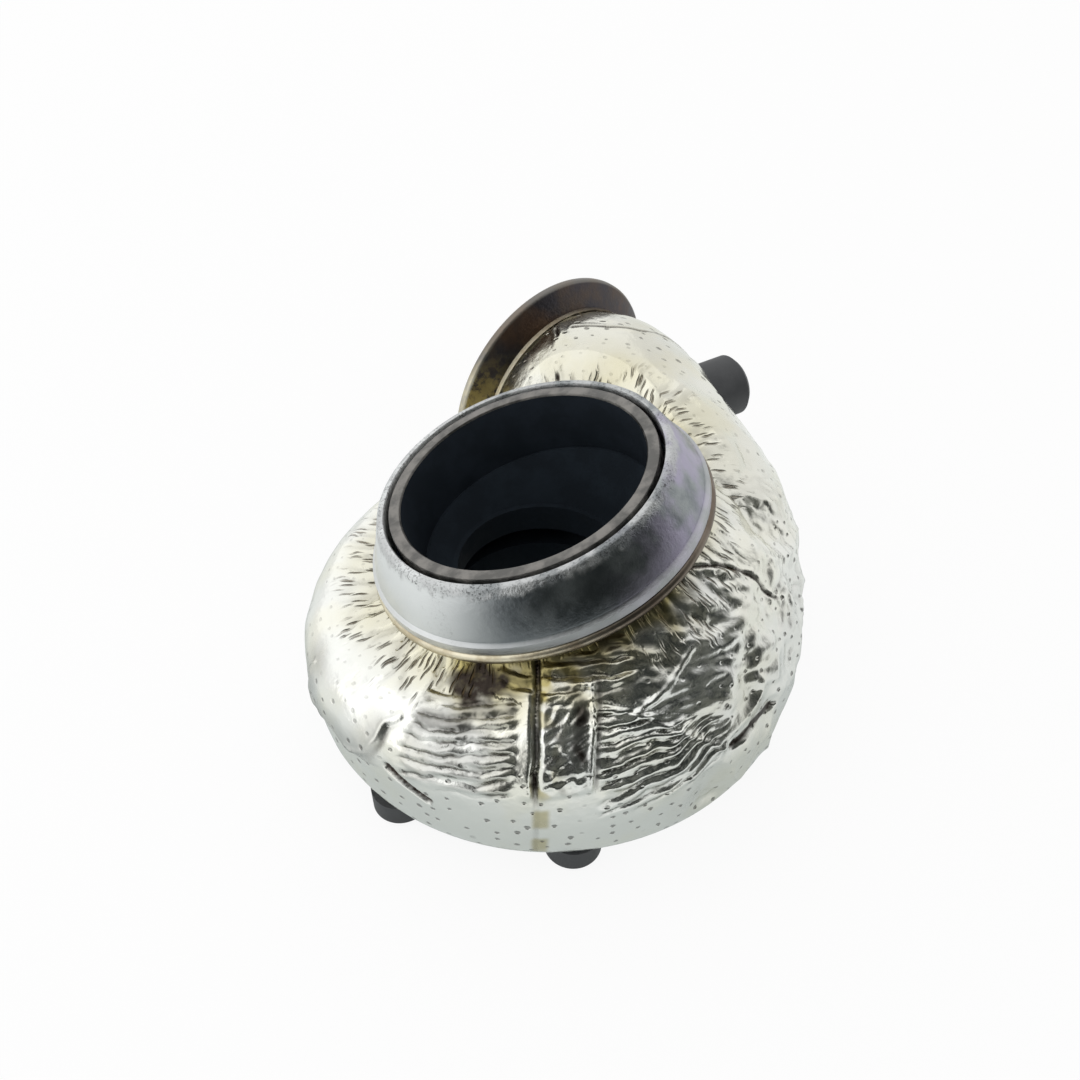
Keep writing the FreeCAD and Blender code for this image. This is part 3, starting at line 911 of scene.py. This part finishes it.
values = [shape(v.co) for v in bm.verts]
around = [roundOutlet(v.co) for v in bm.verts]
for v, made in zip(bm.verts, values):
    v.co += v.normal * made[0]
print("relief pressed")
bmesh.ops.scale(bm, vec=(mm, mm, mm), verts=bm.verts)
layers = [bm.verts.layers.float.new(word) for word in marks]
sheetUv = bm.loops.layers.uv.new("sheet")
for v, made in zip(bm.verts, values):
    for layer, value in zip(layers, made[1:]):
        v[layer] = value
for face in bm.faces:
    face.smooth = True
    first = around[face.verts[0].index][0]
    for loop in face.loops:
        angle, radius, u = around[loop.vert.index]
        if angle - first > 180:
            angle -= 360
        if angle - first < -180:
            angle += 360
        loop[sheetUv].uv = (math.radians(angle) * sheet["uvRadius"] * mm, belowCollar(radius, u) * mm)
other = bm.copy()
rightHand = {face.index for face in bm.faces if isRight(face.calc_center_median() / mm)}
for shell, keep in ((bm, False), (other, True)):
    shell.faces.ensure_lookup_table()
    away = [face for face in shell.faces if (face.index in rightHand) != keep]
    bmesh.ops.delete(shell, geom=away, context="FACES")
leftSkin = finishPiece("foil_left_skin", bm, foilSkin, "foil", "foil_left")
rightSkin = finishPiece("foil_right_skin", other, foilSkin, "foil", "foil_right", "seam_strip")
print("skins made:", len(leftSkin.data.polygons), len(rightSkin.data.polygons))

# the wool gives way where the sheet is pressed in, mm
wool = {"givesWay": 3.2, "facingSheet": 0.4}
bm = bmesh.new()
bm.from_mesh(nodes["insulation_mat"].data)
bmesh.ops.remove_doubles(bm, verts=bm.verts, dist=1e-6)
bm.normal_update()
sheetTree = treeOf("foil_left", "foil_right", "foil_pan")
facing = [v for v in bm.verts if sheetTree.find_nearest(v.co / mm)[3] < wool["facingSheet"]]
for v in facing:
    v.co -= v.normal * wool["givesWay"] * mm
finishPiece("wool_pressed", bm, fibreWool, "wool", "insulation_mat")

# finishes of the solids that stay
kept = [("turbine_housing", castIron, "cast_iron"), ("inlet_hem", hemSteel, "hem_steel")]
kept += [("foil_pan", foilPlain, "foil"), ("port_cap", blackCap, "black_cap")]
kept += [("stud_" + str(k), studSteel, "stud_steel") for k in range(1, 5)]
kept += [("stud_cap_" + str(k), blackCap, "black_cap") for k in range(1, 5)]
for name, material, slotName in kept:
    nodes[name].data.materials.clear()
    nodes[name].data.materials.append(material)
print("solids finished:", len(kept))

# floor, white background, light and camera
white = (1, 1, 1)
studio = {
    "floorZ": -11.7,
    "floorHalf": 6.0,
    "paper": (0.90, 0.90, 0.90),
    "paperGlow": 0.90,                # share of plain white in what the camera sees of the floor
    "paperShine": 0.85,
    "shadowedPaper": (0.58, 0.62, 0.61),  # the floor as the metal mirrors it: darker close by as a painted shadow, plain further off
    "farPaper": (0.95, 0.97, 0.96),
    "nearReach": (0.10, 0.21),
    "worldLight": 0.8,
    "lamps": {"keyLamp": ((-1.05, 0.25, 0.85), 1.95, 4.0), "fillLamp": ((0.35, 1.15, 1.05), 2.5, 3.6)},
    "lampsAimAt": (0, 0, 0.05),
    "lens": 36.67,
    "eye": (-189.4, -217.1, 347.2),
    "forward": (0.466, 0.538, -0.702),
}


def stagePiece(name, bm, material):
    mesh = bpy.data.meshes.new(name)
    bm.to_mesh(mesh)
    bm.free()
    mesh.materials.append(material)
    piece = bpy.data.objects.new(name, mesh)
    bpy.context.scene.collection.objects.link(piece)
    return piece


paper = Shader(bpy.data.materials.new("paper"))
paper.coat(studio["paper"], 0.7, metallic=0.0)
mirrored = paper.ray("Glossy") + paper.ray("Transmission")
apart = paper.make("ShaderNodeVectorMath", {"operation": "LENGTH"}, {0: paper.place()}, output="Value")
# the floor close to the object shows darker in the metal, a painted shadow
inMetal = paper.mix(paper.step(apart, *studio["nearReach"]), studio["shadowedPaper"], studio["farPaper"])
glow = paper.make("ShaderNodeEmission", {}, {"Color": paper.mix(mirrored.clamped(), white, inMetal), "Strength": 1.0})
shown = (paper.ray("Camera") * studio["paperGlow"] + mirrored * studio["paperShine"]).clamped()
paper.blend(shown, Socket(paper, paper.nodes["Principled BSDF"].outputs[0]), glow)
bm = bmesh.new()
bmesh.ops.create_grid(bm, x_segments=1, y_segments=1, size=studio["floorHalf"])
bmesh.ops.translate(bm, vec=(0, 0, studio["floorZ"] * mm), verts=bm.verts)
stagePiece("floor", bm, paper.owner)

world = bpy.data.worlds.new("studio")
bpy.context.scene.world = world
sky = Shader(world)
plain = sky.make("ShaderNodeBackground", {}, {"Color": white, "Strength": studio["worldLight"]})
bright = sky.make("ShaderNodeBackground", {}, {"Color": white, "Strength": 1.0})
sky.blend((sky.ray("Camera") + sky.ray("Glossy") + sky.ray("Transmission")).clamped(), plain, bright)

# the dim side of the room, which only shows in the bright metal
dimRoom = {
    "radius": 0.5,
    "centre": (0, 0, 0.04),
    "azimuth": -103.0,
    "rise": 24.0,
    "core": 0.36,
    "end": 0.58,
    "dark": (0.031, 0.035, 0.034),
    "pale": (0.15, 0.155, 0.14),
}
dim = Shader(bpy.data.materials.new("dimRoom"))
rise = math.radians(dimRoom["rise"])
core = polar(math.cos(rise), dimRoom["azimuth"], math.sin(rise)) * dimRoom["radius"] + Vector(dimRoom["centre"])
gap = dim.make("ShaderNodeVectorMath", {"operation": "DISTANCE"}, {0: dim.place(), 1: tuple(core)}, output="Value")
shade = dim.mix(dim.step(dim.noise(0.16), 0.42, 0.62), dimRoom["dark"], dimRoom["pale"])
glow = dim.make("ShaderNodeEmission", {}, {"Color": shade, "Strength": 1.0})
dim.blend(dim.step(gap, dimRoom["core"], dimRoom["end"]), glow, dim.make("ShaderNodeBsdfTransparent", {}, {}))
bm = bmesh.new()
bmesh.ops.create_uvsphere(bm, u_segments=48, v_segments=24, radius=dimRoom["radius"])
bmesh.ops.translate(bm, vec=dimRoom["centre"], verts=bm.verts)
room = stagePiece("dimRoom", bm, dim.owner)
room.visible_camera = False
room.visible_diffuse = False
room.visible_shadow = False

for name, (place, size, power) in studio["lamps"].items():
    lampData = bpy.data.lights.new(name, "AREA")
    lampData.shape = "DISK"
    lampData.size = size
    lampData.energy = power
    lamp = bpy.data.objects.new(name, lampData)
    lamp.location = Vector(place)
    lamp.rotation_mode = "QUATERNION"
    lamp.rotation_quaternion = (Vector(studio["lampsAimAt"]) - Vector(place)).to_track_quat("-Z", "Y")
    bpy.context.scene.collection.objects.link(lamp)

cameraData = bpy.data.cameras.new("camera")
cameraData.lens = studio["lens"]
cameraData.sensor_width = 36.0
cameraData.clip_start = 0.01
camera = bpy.data.objects.new("camera", cameraData)
bpy.context.scene.collection.objects.link(camera)
forward = Vector(studio["forward"]).normalized()
right = Vector(axes["screenRight"]).normalized()
turnTo = Matrix((right, right.cross(forward), -forward)).transposed().to_4x4()
camera.matrix_world = Matrix.Translation(Vector(studio["eye"]) * mm) @ turnTo
bpy.context.scene.camera = camera
bpy.context.scene.view_settings.view_transform = "Standard"
print("stage set")
